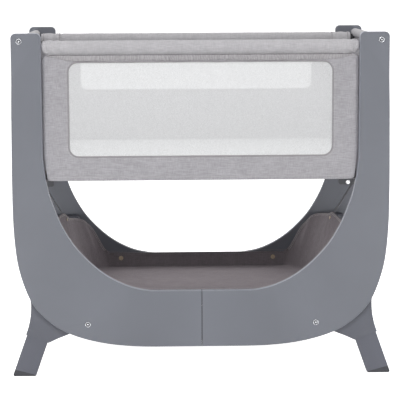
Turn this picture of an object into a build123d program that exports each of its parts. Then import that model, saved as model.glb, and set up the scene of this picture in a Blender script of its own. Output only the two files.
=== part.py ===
from build123d import *
import os
from math import sin, cos, radians, hypot

# Bedside crib: two U-shaped front and rear panels joined by cross beams and
# top tubes, a hung fabric body with a drop-down front wall, four splayed
# sliding legs with rocker latches, and a storage basket between the panels.
# Millimetres. X to the right, Y to the rear, Z up, origin on the floor at
# the middle of the footprint.

# ---------------------------------------------------------------- dimensions
HALF_W = 470.0            # half width of the U panels at their top
HALF_D = 280.0            # half depth over the U panels
PANEL_T = 18.0            # panel thickness
HEIGHT = 874.0            # overall height
LIMB_IN = 396.0           # inner edge of the panel limbs
SEAM = 0.3                # half gap of the seam at the middle of each panel
PANEL_EDGE_R = 2.2        # rounding of the panel edges
INNER_Y = HALF_D - PANEL_T

LEG_TILT = 19.7           # splay of the legs, degrees from vertical
LEG_FOOT_X = 455.3        # where the leg axis meets the floor
LEG_Y = 245.0             # leg centre plane
LEG_W = 56.0
LEG_T = 27.0
LEG_LEN = 303.0
LEG_TRAVEL = 120.0
NOTCH_STEP = 20.0
NOTCH_FIRST = 149.5
POCKET_GAP = 0.35

BOLT_X = 449.5            # top connector bolts
BOLT_Z = 854.5
BEAM_X = 289.5            # lower connector bolts and cross beams
BEAM_BOLT_Z = 139.3
TUBE_R = 7.5              # end top tubes
SLEEVE_R = 11.2
REAR_RAIL_Y = 240.0
REAR_RAIL_Z = 841.5
REAR_TUBE_R = 11.0
REAR_SLEEVE_R = 15.0
ROLL_Y = -262.0           # padded front rail
ROLL_Z = 836.9
ROLL_R = 18.5
ROLL_HALF = 393.5

BASE_Z = 504.0            # underside of the fabric body
WALL_TOP = 836.8
END_WALL_TOP = 843.0
END_WALL_X = 449.5
MATT_TOP = 557.0
FRONT_HALF = 392.5        # half width of the front wall
HINGE_Y = -268.0
HINGE_Z = 503.0
WINDOW_HALF = 330.5
WINDOW_LO = 565.0
WINDOW_HI = 802.0
REAR_WIN_HALF = 329.0
REAR_WIN_LO = 695.0
REAR_WIN_HI = 802.0
PEAK_HIGH = 366.9          # basket end wall at z 400, middle

BASKET_Z = 181.0
BASKET_T = 2.6
FLAP_TOP = 224.8
STUD_X = 219.0
STUD_Z = 211.0

os.makedirs("parts", exist_ok=True)

S, C = sin(radians(LEG_TILT)), cos(radians(LEG_TILT))


# ------------------------------------------------------------------- helpers
def block(x0, x1, y0, y1, z0, z1):
    return Pos((x0 + x1) / 2, (y0 + y1) / 2, (z0 + z1) / 2) * Box(
        x1 - x0, y1 - y0, z1 - z0)


def rod_y(x, z, r, y0, y1):
    return Pos(x, (y0 + y1) / 2, z) * Rot(90, 0, 0) * Cylinder(r, abs(y1 - y0))


def rod_x(y, z, r, x0, x1):
    return Pos((x0 + x1) / 2, y, z) * Rot(0, 90, 0) * Cylinder(r, abs(x1 - x0))


def rod_z(x, y, r, z0, z1):
    return Pos(x, y, (z0 + z1) / 2) * Cylinder(r, abs(z1 - z0))


def rod(p, q, r):
    """Round rod from point p to point q."""
    p, q = Vector(*p), Vector(*q)
    d = q - p
    return extrude(Plane(origin=p, z_dir=d) * Circle(r), d.length)


def flat(points, y0, y1):
    """Closed outline in X and Z, carried from y0 to y1."""
    wire = Wire.make_polygon([Vector(x, y0, z) for x, z in points], close=True)
    return extrude(Face(wire), y1 - y0, dir=(0, 1, 0))


def outline(edges, y0, y1):
    face = Face(Wire(edges))
    return extrude(face, y1 - y0, dir=(0, 1, 0))


def line(y, p, q):
    return Edge.make_line(Vector(p[0], y, p[1]), Vector(q[0], y, q[1]))


def curve(y, pts, t0=None, t1=None):
    v = [Vector(a, y, b) for a, b in pts]
    if t0:
        return Edge.make_spline(v, tangents=[Vector(t0[0], 0, t0[1]),
                                             Vector(t1[0], 0, t1[1])])
    return Edge.make_spline(v)


def arc(y, p, m, q):
    return Edge.make_three_point_arc(Vector(p[0], y, p[1]),
                                     Vector(m[0], y, m[1]),
                                     Vector(q[0], y, q[1]))


def G(u, v):
    """Leg frame of the right-hand legs: u up the leg axis, v outward."""
    return (LEG_FOOT_X - S * u + C * v, C * u + S * v)


def mx(s):
    return mirror(s, about=Plane.YZ)


def my(s):
    return mirror(s, about=Plane.XZ)


def four(s):
    return [s, mx(s), my(s), mx(my(s))]


def soften(s, edges, r):
    """Round the edges, with a smaller radius where the full one won't fit."""
    for k in (1.0, 0.6, 0.35):
        try:
            out = fillet(edges, r * k)
            if out.is_valid:
                return out
        except Exception:
            pass
    print("edges left sharp")
    return s


def rim_edges(s, y, keep=lambda e: True):
    return [e for e in s.edges()
            if abs(e.bounding_box().min.Y - y) < 1e-4
            and abs(e.bounding_box().max.Y - y) < 1e-4 and keep(e)]


def solids_of(items):
    out = []
    for s in items:
        out.extend(s.solids())
    return out


def save(name, *items):
    items = solids_of(items)
    shape = items[0] if len(items) == 1 else Compound(children=items)
    shape.label = name
    export_step(shape, "parts/" + name + ".step")


# ------------------------------------------------------------ U panel halves
def panel_front_right():
    y = -HALF_D
    outer = [(470, 780), (471.4, 712), (472.9, 620), (474, 520), (474, 450),
             (472.6, 385), (469.2, 337), (463, 291), (455.4, 260),
             (445.2, 229), (431.5, 198), (415.5, 174), (397, 155),
             (367, 131.2), (325, 110.2), (281, 96.5), (238, 87.6),
             (190, 82), (150, 79.6), (118, 79)]
    inner = [(120, 224), (153, 227.8), (178, 234), (203, 243.6),
             (232, 258.8), (264, 281.5), (296, 311.6), (322, 342),
             (341.6, 373), (357.2, 403.6), (369.5, 435), (380.5, 466),
             (387, 495), (390.9, 517), (393.3, 538), (395.4, 558), (396, 578)]
    c = 12.0
    k = c * (1 - 0.70711)
    edges = [
        line(y, (LIMB_IN + c, HEIGHT), (HALF_W - c, HEIGHT)),
        arc(y, (HALF_W - c, HEIGHT), (HALF_W - k, HEIGHT - k),
            (HALF_W, HEIGHT - c)),
        line(y, (HALF_W, HEIGHT - c), (470, 780)),
        curve(y, outer, (0, -1), (-1, 0)),
        line(y, (118, 79), (SEAM, 79)),
        line(y, (SEAM, 79), (SEAM, 224)),
        line(y, (SEAM, 224), (120, 224)),
        curve(y, inner, (1, 0), (0, 1)),
        line(y, (396, 578), (LIMB_IN, HEIGHT - c)),
        arc(y, (LIMB_IN, HEIGHT - c), (LIMB_IN + k, HEIGHT - k),
            (LIMB_IN + c, HEIGHT)),
    ]
    s = outline(edges, y, y + PANEL_T)
    off_seam = lambda e: e.bounding_box().max.X > 1.0
    s = soften(s, rim_edges(s, y, off_seam) + rim_edges(s, y + PANEL_T, off_seam),
               PANEL_EDGE_R)
    # connector bolt holes
    s -= rod_y(BOLT_X, BOLT_Z, 3.2, -290, -250)
    s -= rod_y(BEAM_X, BEAM_BOLT_Z, 3.2, -290, -250)
    # insert holes for the base rail bracket
    for z in (427, 458):
        s -= rod_y(434, z, 4.1, -275.5, -255)
    # screw holes for the leg bracket and the joint plate
    for x, z in LEG_SCREWS + PLATE_SCREWS:
        s -= rod_y(x, z, 2.05, -272.5, -255)
    # press stud hole
    s -= rod_y(STUD_X, STUD_Z, 1.9, -269, -255)
    return s


LEG_SCREWS = [(347, 150), (326, 236), (415, 302), (420, 242)]
PLATE_SCREWS = [(45, 112), (45, 158)]

panel = panel_front_right()
save("front_panel_right", panel)
save("front_panel_left", mx(panel))
save("rear_panel_right", my(panel))
save("rear_panel_left", mx(my(panel)))

# joint plates behind the seams
plate = block(-75, 75, -INNER_Y, -250, 92, 178)
plate = soften(plate, rim_edges(plate, -250), 2.5)
for x, z in PLATE_SCREWS:
    for sx in (-1, 1):
        plate -= rod_y(sx * x, z, 2.1, -265, -245)
save("panel_joint_plates", plate, my(plate))


# --------------------------------------------------- wood screws, one pattern
def wood_screw(x, z):
    """Pan head at Y -250, shank into the front panel."""
    s = rod_y(x, z, 2.0, -271.5, -250)
    head = rod_y(x, z, 4.2, -250, -247.2)
    head = soften(head, rim_edges(head, -247.2), 1.4)
    head -= block(x - 2.6, x + 2.6, -248.6, -247, z - 0.5, z + 0.5)
    head -= block(x - 0.5, x + 0.5, -248.6, -247, z - 2.6, z + 2.6)
    return s + head


screws = []
for x, z in LEG_SCREWS + PLATE_SCREWS:
    screws += four(wood_screw(x, z))
save("wood_screws", *screws)


# ------------------------------------------------------------ connector bolts
def connector_bolt(x, z, length):
    head = rod_y(x, z, 7.4, -HALF_D - 3.0, -HALF_D)
    head = soften(head, rim_edges(head, -HALF_D - 3.0), 1.3)
    s = head + rod_y(x, z, 3.0, -HALF_D, -HALF_D + length)
    hexa = Plane(origin=(x, -HALF_D - 4, z), z_dir=(0, 1, 0)) * RegularPolygon(
        2.6, 6)
    return s - extrude(hexa, 3.6)


save("frame_bolts",
     *four(connector_bolt(BOLT_X, BOLT_Z, 34)),
     *four(connector_bolt(BEAM_X, BEAM_BOLT_Z, 68)))

# ---------------------------------------------------------- lower cross beams
beam = block(BEAM_X - 12, BEAM_X + 12, -INNER_Y, INNER_Y, 110, 168)
beam = soften(beam, [e for e in beam.edges() if e.length > 500], 3.0)
for sy in (-1, 1):
    beam -= rod_y(BEAM_X, BEAM_BOLT_Z, 3.15, sy * 205, sy * 270)
    beam -= rod_z(BEAM_X, sy * 225, 5.1, 100, 151)
save("lower_cross_beam_right", beam)
save("lower_cross_beam_left", mx(beam))

# barrel nuts in the beams and threaded inserts in the panels
nut = rod_z(BEAM_X, -225, 5.0, 127.8, 150.8) - rod_y(
    BEAM_X, BEAM_BOLT_Z, 3.05, -240, -210)
nuts = four(nut)
for z in (427, 458):
    ins = rod_y(434, z, 4.0, -274.6, -262.2) - rod_y(434, z, 3.05, -280, -260)
    nuts += four(ins)
save("threaded_inserts", *nuts)

# ----------------------------------------------------------------- top tubes
tube = rod_y(BOLT_X, BOLT_Z, TUBE_R, -INNER_Y + 0.1, INNER_Y - 0.1) - rod_y(
    BOLT_X, BOLT_Z, TUBE_R - 1.5, -300, 300)
save("end_top_tube_right", tube)
save("end_top_tube_left", mx(tube))
plug = rod_y(BOLT_X, BOLT_Z, TUBE_R - 1.55, -INNER_Y + 0.1, -236) - rod_y(
    BOLT_X, BOLT_Z, 3.05, -300, -230)
save("tube_end_plugs", *four(plug))

rear_tube = rod_x(REAR_RAIL_Y, REAR_RAIL_Z, REAR_TUBE_R, -428, 428) - rod_x(
    REAR_RAIL_Y, REAR_RAIL_Z, REAR_TUBE_R - 1.2, -450, 450)
save("rear_top_tube", rear_tube)

conn = rod_y(BOLT_X, BOLT_Z, 9.7, 227, 253) + rod_x(
    REAR_RAIL_Y, REAR_RAIL_Z, 9.7, 400, 440)
conn += block(430, 446, 231, 249, 838, 850)
conn -= rod_y(BOLT_X, BOLT_Z, TUBE_R + 0.1, 200, 270)
save("rail_corner_connectors", conn, mx(conn))

sleeve = rod_y(BOLT_X, BOLT_Z, SLEEVE_R, -258, 258) - rod_y(
    BOLT_X, BOLT_Z, TUBE_R + 0.2, -300, 300)
sleeve -= rod_y(BOLT_X, BOLT_Z, 9.9, 226, 254)
sleeve -= rod_x(REAR_RAIL_Y, REAR_RAIL_Z, 10.2, 420, 442)
sleeve -= block(428, 446.5, 230.5, 249.5, 837, 850.5)
sleeve -= block(425, 475, -265, 265, 841, 844.0)
save("end_rail_sleeve_right", sleeve)
save("end_rail_sleeve_left", mx(sleeve))

rear_sleeve = rod_x(REAR_RAIL_Y, REAR_RAIL_Z, REAR_SLEEVE_R, -427.5, 427.5)
rear_sleeve -= rod_x(REAR_RAIL_Y, REAR_RAIL_Z, REAR_TUBE_R + 0.2, -450, 450)
save("rear_rail_sleeve", rear_sleeve)

# --------------------------------------------------------- mattress base frame
RAIL_IN, RAIL_OUT = 419.4, 448.6
brk = block(408, 460, -INNER_Y, -258.5, 420, 500)
brk = soften(brk, [e for e in brk.edges()
                   if abs(e.length - 3.5) < 1e-3], 6.0)
brk += block(416.5, 451.5, -258.5, -232, 478, 481)
brk += block(416.5, 419, -258.5, -232, 478, 497)
brk += block(449, 451.5, -258.5, -232, 478, 497)
for z in (427, 458):
    brk -= rod_y(434, z, 3.2, -270, -250)
save("base_rail_brackets", *four(brk))


def bracket_bolt(x, z):
    head = rod_y(x, z, 6.2, -258.5, -255.2)
    head = soften(head, rim_edges(head, -255.2), 1.2)
    s = head + rod_y(x, z, 3.0, -273, -258.5)
    hexa = Plane(origin=(x, -254, z), z_dir=(0, -1, 0)) * RegularPolygon(2.4, 6)
    return s - extrude(hexa, 3.4)


save("base_bracket_bolts", *four(bracket_bolt(434, 427)),
     *four(bracket_bolt(434, 458)))

rail = block(RAIL_IN, RAIL_OUT, -258, 258, 481.1, 503.5)
rail = soften(rail, [e for e in rail.edges() if e.length > 500], 3.0)
rail -= block(RAIL_IN + 1.5, RAIL_OUT - 1.5, -300, 300, 482.6, 502)
save("base_cross_rails", rail, mx(rail))

cloth = block(-446.6, 446.6, -261.2, 249.6, BASE_Z, BASE_Z + 1.6)
save("body_base_cloth", cloth)

long_tube = rod_x(-238, 514, 8.0, -442, 442) - rod_x(-238, 514, 6.8, -450, 450)
save("base_long_tubes", long_tube, my(long_tube))

board = block(-440, 440, -250, 246, 522.3, 527.3)
board = soften(board, [e for e in board.edges() if abs(e.length - 5) < 1e-3],
               20.0)
save("base_board", board)

matt = block(-438, 438, -249, 246.5, 527.6, MATT_TOP)
matt = soften(matt, [e for e in matt.edges()
                     if abs(e.length - (MATT_TOP - 527.6)) < 1e-3], 30.0)
matt = soften(matt, [e for e in matt.edges()
                     if e.bounding_box().min.Z > MATT_TOP - 0.01], 8.0)
save("mattress", matt)

# --------------------------------------------------------------- fabric body
wall = block(447, END_WALL_X, -258.5, 252.4, BASE_Z + 1.8, END_WALL_TOP)
ret = block(390.8, 447, -258.5, -256, BASE_Z + 1.8, WALL_TOP)
# corner cleared for the front roll's end
ret -= block(385, 397, -262, -250, 812, 850)
end_wall = wall + ret
save("end_wall_right", end_wall)
save("end_wall_left", mx(end_wall))


def window(half, lo, hi, r, y0, y1):
    w = block(-half, half, y0, y1, lo, hi)
    return soften(w, [e for e in w.edges() if abs(e.length - (y1 - y0)) < 1e-3],
                  r)


rear_wall = block(-446.6, 446.6, 250, 252.4, BASE_Z + 1.8, 830)
rear_wall -= window(REAR_WIN_HALF, REAR_WIN_LO, REAR_WIN_HI, 22, 245, 257)
save("rear_wall", rear_wall)
save("rear_window_mesh",
     window(REAR_WIN_HALF, REAR_WIN_LO, REAR_WIN_HI, 22, 250.6, 251.8))

# zip tapes beside the front wall
tape = block(381.6, 390.4, -258.2, -257, 508, 812)
save("zip_tapes", tape, mx(tape))


def zip_slider(x):
    s = block(x - 3.2, x + 3.2, -261.4, -258.6, 791, 803)
    s = soften(s, [e for e in s.edges()
                   if e.bounding_box().max.Y < -261.3], 1.0)
    s += block(x - 2.2, x + 2.2, -262.6, -261.3, 772, 796)
    return s - rod_y(x, 776, 1.1, -264, -260)


zs = zip_slider(386)
save("zip_slider_right", zs)
save("zip_slider_left", mx(zs))

# --------------------------------------------------------- drop-down front wall
side = [(366, BASE_Z + 0.6), (374.5, 507.5), (379.6, 514), (382, 526),
        (388.5, 542), (FRONT_HALF, 561), (FRONT_HALF, 818.2)]
front = flat(side + [(-x, z) for x, z in reversed(side)], -266.2, -263.0)
front -= window(WINDOW_HALF, WINDOW_LO, WINDOW_HI, 25, -270, -258)
save("front_wall", front)
save("front_window_mesh",
     window(WINDOW_HALF, WINDOW_LO, WINDOW_HI, 25, -264.6, -263.4))
roll = rod_x(ROLL_Y, ROLL_Z, ROLL_R, -ROLL_HALF, ROLL_HALF)
roll = soften(roll, [e for e in roll.edges()
                     if e.bounding_box().max.X - e.bounding_box().min.X < 0.01],
              9.0)
roll -= rod_x(ROLL_Y, ROLL_Z, 9.7, -400, 400)
save("front_roll", roll)
save("front_rail_tube",
     rod_x(ROLL_Y, ROLL_Z, 9.5, -388, 388) - rod_x(ROLL_Y, ROLL_Z, 8.2, -400, 400))


# ----------------------------------------------------- legs and leg brackets
def leg_pair():
    """Front right leg and its foot pad."""
    y0, y1 = -LEG_Y - LEG_T / 2, -LEG_Y + LEG_T / 2
    h = LEG_W / 2
    uo, ui = -h * S / C, h * S / C
    s = flat([G(LEG_LEN, -h), G(LEG_LEN, h), G(uo, h), G(ui, -h)], y0, y1)

    def corner(x, z):
        return [e for e in s.edges()
                if abs(e.center().X - x) < 0.5 and abs(e.center().Z - z) < 0.5
                and abs(e.length - LEG_T) < 1e-3]

    s = soften(s, corner(*G(uo, h)), 4.2)
    s = soften(s, corner(*G(ui, -h)), 6.0)
    s = soften(s, rim_edges(s, y0) + rim_edges(s, y1), 2.6)
    cut = Plane(origin=(431, 0, 5.2), x_dir=(0, 1, 0),
                z_dir=Vector(-(18.5 - 5.2), 0, 480 - 431))
    top = split(s, bisect_by=cut, keep=Keep.TOP)
    low = split(s, bisect_by=cut, keep=Keep.BOTTOM)
    if top.bounding_box().max.Z < low.bounding_box().max.Z:
        top, low = low, top
    for k in range(int(LEG_TRAVEL / NOTCH_STEP) + 1):
        u = NOTCH_FIRST + k * NOTCH_STEP
        top -= flat([G(u - 4.4, h - 5), G(u + 4.4, h - 5), G(u + 4.4, h + 3),
                     G(u - 4.4, h + 3)], -LEG_Y - 7.4, -LEG_Y + 7.4)
    return top, low


leg, pad = leg_pair()


def leg_bracket():
    y = -INNER_Y
    a, b = (391.7, 87.9), (448.6, 110.0)
    outer = [(444.6, 121), (441.2, 132), (438.6, 143), (436, 158),
             (434.4, 178), (434.2, 200), (433.6, 230), (431, 280), (424, 326)]
    inner = [(334, 326), (320, 290), (313.5, 250), (313, 200), (319, 155),
             (330, 124), (338, 111)]
    under = [(338, 111), (354, 104.3), (366, 99.6), (380, 93.2), a]
    edges = [
        line(y, a, b), line(y, b, outer[0]), curve(y, outer),
        arc(y, outer[-1], (420.6, 334.6), (412, 338)),
        line(y, (412, 338), (346, 338)),
        arc(y, (346, 338), (337.6, 334.6), inner[0]),
        curve(y, inner), curve(y, under),
    ]
    s = outline(edges, y, -228)
    s = soften(s, rim_edges(s, -228), 3.0)
    # leg pocket
    h = LEG_W / 2 + POCKET_GAP
    t = LEG_T / 2 + POCKET_GAP
    s -= flat([G(60, -h), G(60, h), G(LEG_LEN + 0.4, h), G(LEG_LEN + 0.4, -h)],
              -LEG_Y - t, -LEG_Y + t)
    # raised mouth collar line
    # cavity of the rocker latch in the outer side
    s -= flat([G(142.6, 28), G(155.6, 28), G(157, 30.2), G(170, 30.4),
               G(176, 31.4), G(182, 33.8), G(206.5, 40.6), G(206.5, 60),
               G(142.6, 60)], -LEG_Y - 7.3, -LEG_Y + 7.3)
    # spring seat under the button
    s -= rod((G(194, 31)[0], -LEG_Y, G(194, 31)[1]),
             (G(194, 44)[0], -LEG_Y, G(194, 44)[1]), 3.5)
    # pivot pin hole
    px, pz = G(172, 35.8)
    s -= rod_y(px, pz, 2.04, -LEG_Y - 12.2, -LEG_Y + 12.2)
    # screw wells
    for x, z in LEG_SCREWS:
        s -= rod_y(x, z, 2.1, -265, -240)
        s -= rod_y(x, z, 5.0, -250, -220)
    return s


bracket = leg_bracket()

latch_outer = [(145, 33.0), (150, 34.0), (155, 35.1), (165, 37.5),
               (175, 40.5), (183, 43.6), (187.5, 46.6), (193, 49.4),
               (199, 51.4), (203.6, 51.6), (204.8, 49.6)]
latch_inner = [(204.4, 46.2), (196, 43.3), (188, 39.9), (181, 36.2),
               (176, 33.2), (170, 31.8), (160, 31.6), (154, 31.6),
               (153.4, 28.7), (146.4, 28.7), (145, 31)]
latch = flat([G(u, v) for u, v in latch_outer + latch_inner],
             -LEG_Y - 6.8, -LEG_Y + 6.8)
px, pz = G(172, 35.8)
latch -= rod_y(px, pz, 2.06, -300, -200)
# grip ribs on the button
for u, v in ((192.2, 49.6), (195.6, 50.9), (199, 52.0)):
    latch -= rod_y(G(u, v)[0], G(u, v)[1], 0.6, -300, -200)
pin = rod_y(px, pz, 2.0, -LEG_Y - 12, -LEG_Y + 12)


def coil(p, q, r, wire, turns):
    """Compression spring between two points."""
    p, q = Vector(*p), Vector(*q)
    d = q - p
    height = d.length - 2 * wire
    path = Helix(height / turns, height, r)
    prof = Plane(origin=path @ 0, z_dir=path % 0) * Circle(wire)
    s = sweep(prof, path=path)
    return Plane(origin=p + d.normalized() * wire, z_dir=d) * s


spring = coil((G(194, 31.2)[0], -LEG_Y, G(194, 31.2)[1]),
              (G(194, 41.9)[0], -LEG_Y, G(194, 41.9)[1]), 2.5, 0.45, 5)

SIDES = {
    "front_right": lambda s: s,
    "front_left": mx,
    "rear_right": my,
    "rear_left": lambda s: mx(my(s)),
}
for side, place in SIDES.items():
    save("leg_" + side, place(leg))
    save("foot_pad_" + side, place(pad))
    save("leg_bracket_" + side, place(bracket))
    save("leg_latch_" + side, place(latch))
    save("latch_spring_" + side, place(spring))
save("latch_pivot_pins", *four(pin))


# ------------------------------------------------------------- storage basket
def tub_outline(z, inset):
    """Closed outline of the basket at height z."""
    f = (z - BASKET_Z) / 219.0
    low = [(245, 261.8), (255, 257), (264, 249), (272, 239), (281, 225),
           (291.5, 203), (300, 178), (308, 130), (311, 80), (312.8, 40),
           (313, 0)]
    high = [(268, 261.8), (301, 257), (328, 249), (342.5, 239), (354.5, 225),
            (367, 203), (374.5, 178), (376.5, 130), (371.5, 80), (367.2, 40),
            (PEAK_HIGH, 0)]
    ky = (261.8 - inset) / 261.8
    half = [(a + (c - a) * f - inset, b * ky) for (a, b), (c, _) in
            zip(low, high)]
    right = half + [(x, -yy) for x, yy in reversed(half[:-1])]
    left = [(-x, -yy) for x, yy in right]
    v = lambda p: Vector(p[0], p[1], z)
    edges = [
        Edge.make_spline([v(p) for p in right]),
        Edge.make_line(v(right[-1]), v(left[0])),
        Edge.make_spline([v(p) for p in left]),
        Edge.make_line(v(left[-1]), v(right[0])),
    ]
    return Face(Wire(edges))


tub = loft([tub_outline(BASKET_Z, 0), tub_outline(400, 0)], ruled=True)
tub -= loft([tub_outline(BASKET_Z + BASKET_T, BASKET_T),
             tub_outline(402, BASKET_T)], ruled=True)
rim = [(262.5, FLAP_TOP), (260.5, 230), (258, 240), (255, 258), (252, 280),
       (249, 298), (239, 319), (225, 337), (203, 345), (178, 349), (130, 356),
       (80, 363), (40, 371), (0, 380), (-40, 379), (-80, 374), (-130, 367),
       (-178, 357), (-203, 350), (-225, 339), (-239, 319), (-249, 298),
       (-252, 280), (-255, 258), (-258, 240), (-260.5, 230),
       (-262.5, FLAP_TOP)]
cut = Face(Wire([
    Edge.make_spline([Vector(-420, a, b) for a, b in rim]),
    Edge.make_line(Vector(-420, -262.5, FLAP_TOP), Vector(-420, -262.5, 420)),
    Edge.make_line(Vector(-420, -262.5, 420), Vector(-420, 262.5, 420)),
    Edge.make_line(Vector(-420, 262.5, 420), Vector(-420, 262.5, FLAP_TOP)),
]))
tub -= extrude(cut, 840, dir=(1, 0, 0))


def stud_parts(x):
    """Press stud on the front flap: cap, and post into the panel."""
    cap = rod_y(x, STUD_Z, 6.4, -259.2, -257.0)
    cap = soften(cap, rim_edges(cap, -257.0), 1.0)
    cap -= rod_y(x, STUD_Z, 2.6, -257.8, -256)
    return cap + rod_y(x, STUD_Z, 1.8, -268.5, -259.2)


for sx in (-1, 1):
    tub -= rod_y(sx * STUD_X, STUD_Z, 2.0, -265, -250)
    tub -= rod_y(sx * STUD_X, STUD_Z, 2.0, 250, 265)

# strap from each peak of the basket to the base cross rail
slope = (PEAK_HIGH - 313) / 219.0


def wall_x(z):
    return 313 + slope * (z - BASKET_Z)


n = Vector(1, 0, -slope).normalized()
t = 1.6
strap_pts = [(wall_x(350) + 0.15, 350), (wall_x(379) + 0.15, 379),
             (426, 481.0), (426 + 2.2, 481.0),
             (wall_x(379) + 0.15 + t * 1.12, 378.3),
             (wall_x(350) + 0.15 + t * 1.02, 350)]
strap = flat(strap_pts, -11, 11)
rivet_z = 364.0
rp = (wall_x(rivet_z), rivet_z)
tub_in = (rp[0] - n.X * (BASKET_T + 1.6), 0, rp[1] - n.Z * (BASKET_T + 1.6))
strap_out = (rp[0] + n.X * 3.6, 0, rp[1] + n.Z * 3.6)
hole = rod(tub_in, strap_out, 1.7)
tub -= hole
tub -= mx(hole)
strap -= hole
post = rod(tub_in, strap_out, 1.6)
cap_in = rod(tub_in, (rp[0] - n.X * (BASKET_T + 0.35), 0,
                      rp[1] - n.Z * (BASKET_T + 0.35)), 4.5)
cap_out = rod((rp[0] + n.X * 2.1, 0, rp[1] + n.Z * 2.1), strap_out, 4.5)
rivet = post + cap_in + cap_out
save("storage_basket", tub)
save("basket_straps", strap, mx(strap))
save("basket_press_studs", *four(stud_parts(STUD_X)), rivet, mx(rivet))
print("nodes", len(os.listdir("parts")))
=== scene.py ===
import bpy
import bmesh
import math
import random
from mathutils import Vector, Matrix, noise


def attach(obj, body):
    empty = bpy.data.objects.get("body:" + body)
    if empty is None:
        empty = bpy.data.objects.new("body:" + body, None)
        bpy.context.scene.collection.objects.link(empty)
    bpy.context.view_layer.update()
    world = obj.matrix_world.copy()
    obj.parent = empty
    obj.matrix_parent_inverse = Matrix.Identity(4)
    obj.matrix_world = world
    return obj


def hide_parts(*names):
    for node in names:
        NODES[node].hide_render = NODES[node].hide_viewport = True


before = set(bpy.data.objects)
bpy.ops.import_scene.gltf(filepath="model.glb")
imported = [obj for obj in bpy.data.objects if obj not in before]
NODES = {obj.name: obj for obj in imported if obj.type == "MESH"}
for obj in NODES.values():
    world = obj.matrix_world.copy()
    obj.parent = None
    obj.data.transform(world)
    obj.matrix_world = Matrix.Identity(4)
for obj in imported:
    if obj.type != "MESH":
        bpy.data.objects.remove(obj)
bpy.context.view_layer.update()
SIDES = ("front_right", "front_left", "rear_right", "rear_left")

# ------------------------------------------------------------------- camera
cam_data = bpy.data.cameras.new("camera")
cam = bpy.data.objects.new("camera", cam_data)
bpy.context.scene.collection.objects.link(cam)
yaw, pitch, roll = 0.02428248, 0.14314054, -0.00497925
fwd = Vector((math.sin(yaw) * math.cos(pitch), math.cos(yaw) * math.cos(pitch), -math.sin(pitch)))
right = Vector((math.cos(yaw), -math.sin(yaw), 0))
up = right.cross(fwd)
c, s = math.cos(roll), math.sin(roll)
r2, u2 = c * right + s * up, -s * right + c * up
rot = Matrix((r2, u2, -fwd)).transposed()
cam.matrix_world = Matrix.Translation((-0.0956915, -4.0682499, 1.001886)) @ rot.to_4x4()
cam_data.sensor_width = 36.0
cam_data.lens = 1524.426 * 36.0 / 400.0
cam_data.clip_start, cam_data.clip_end = 0.05, 200.0
bpy.context.scene.camera = cam
bpy.context.scene.view_settings.view_transform = "Standard"
bpy.context.scene.view_settings.look = "None"


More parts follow.
